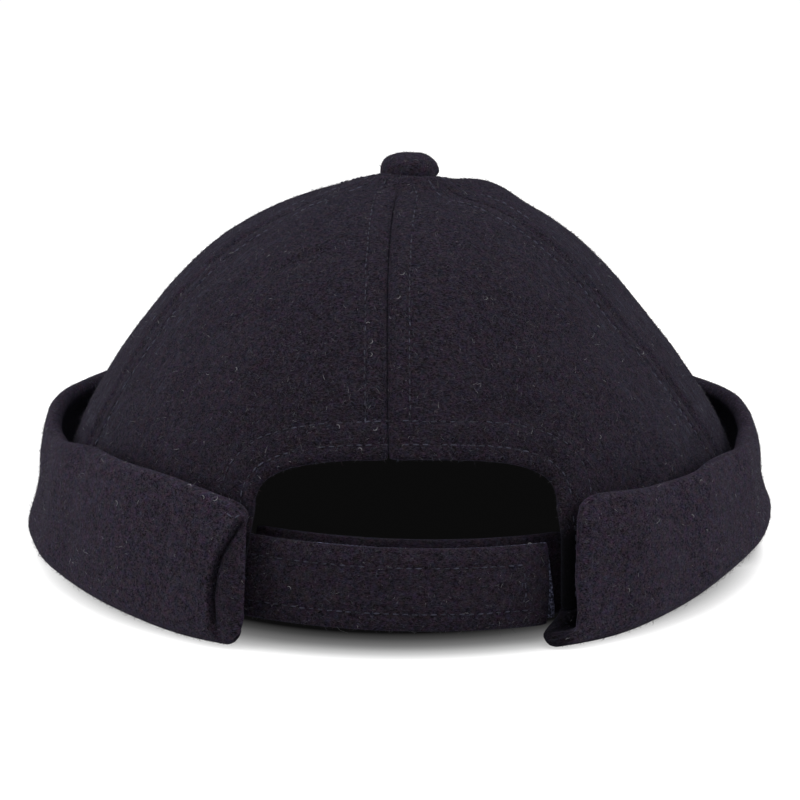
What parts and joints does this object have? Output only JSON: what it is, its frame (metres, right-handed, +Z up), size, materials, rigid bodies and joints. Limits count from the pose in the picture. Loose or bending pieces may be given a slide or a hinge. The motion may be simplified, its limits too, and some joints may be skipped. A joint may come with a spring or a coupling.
{
  "type": "docker beanie",
  "caption": "Brimless docker cap in dark navy melton wool, with a panelled crown, a covered button, a turned-up cuff and an arched rear opening with an adjustable strap.",
  "frame": {"origin": "middle of the cap's outline, on the surface that it rests on", "axes": "+Z up, +Y towards the wearer's front, +X towards the wearer's right, so the strap and its opening face -Y"},
  "size_m": [0.1994, 0.2056, 0.1069],
  "materials": {
    "crown_wool": "matt fulled wool",
    "button_wool": "matt fulled wool",
    "cuff_wool": "matt fulled wool",
    "strap_wool": "matt fulled wool",
    "hook_tape": "fine nylon hooks",
    "loop_tape": "napped nylon loops"
  },
  "bodies": {
    "root": {"crown_panel_back_left": "crown_wool", "crown_panel_back_right": "crown_wool", "crown_panel_side_left": "crown_wool", "crown_panel_side_right": "crown_wool", "crown_panel_front": "crown_wool", "top_button": "button_wool", "cuff": "cuff_wool", "strap_outer": "strap_wool", "strap_inner": "strap_wool", "hook_tape": "hook_tape", "loop_tape": "loop_tape"}
  },
  "joints": []
}
